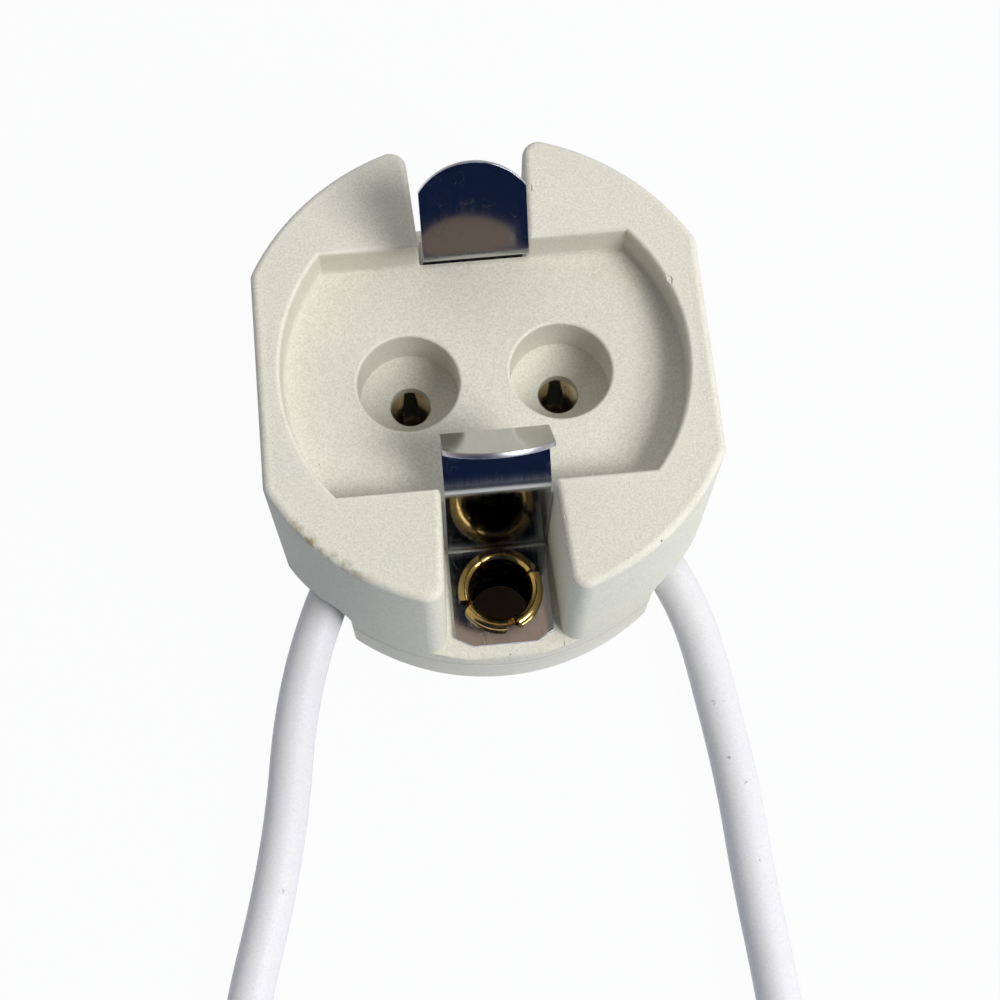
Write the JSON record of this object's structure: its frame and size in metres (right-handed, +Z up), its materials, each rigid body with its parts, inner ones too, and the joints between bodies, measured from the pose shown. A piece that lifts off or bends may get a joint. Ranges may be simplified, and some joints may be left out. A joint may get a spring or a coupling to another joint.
{
  "type": "two-pin ceramic lamp holder",
  "caption": "Ceramic holder for a bi-pin lamp, with steel spring clips, hollow brass rivets, sleeve contacts and two silicone leads.",
  "frame": {"origin": "bottom centre of the holder's base, on the surface that it stands on, without the leads", "axes": "+Z up out of the lamp recess, +X across the two lamp pins to the right, +Y from the front clip to the back clip; the leads leave towards -Y"},
  "size_m": [0.0577, 0.1187, 0.0323],
  "materials": {
    "steatite": "matte, unglazed, fine grain",
    "mica": "pressed mica sheet, satin",
    "stainless": "bright rolled stainless strip",
    "brass": "bright, darkened in the folds",
    "contact_brass": "thinly nickel-plated brass",
    "tinned_copper": "tinned stranded copper",
    "silicone": "white silicone rubber, semi-matte"
  },
  "bodies": {
    "root": {"ceramic_body": "steatite", "backing_plate": "mica", "clip_front": "stainless", "clip_back": "stainless", "eyelet_front": "brass", "eyelet_back": "brass", "contact_left": "contact_brass", "contact_right": "contact_brass", "contact_spring_left": "stainless", "contact_spring_right": "stainless", "conductor_left": "tinned_copper", "conductor_right": "tinned_copper", "lead_left": "silicone", "lead_right": "silicone", "tinned_end_left": "tinned_copper", "tinned_end_right": "tinned_copper"}
  },
  "joints": []
}
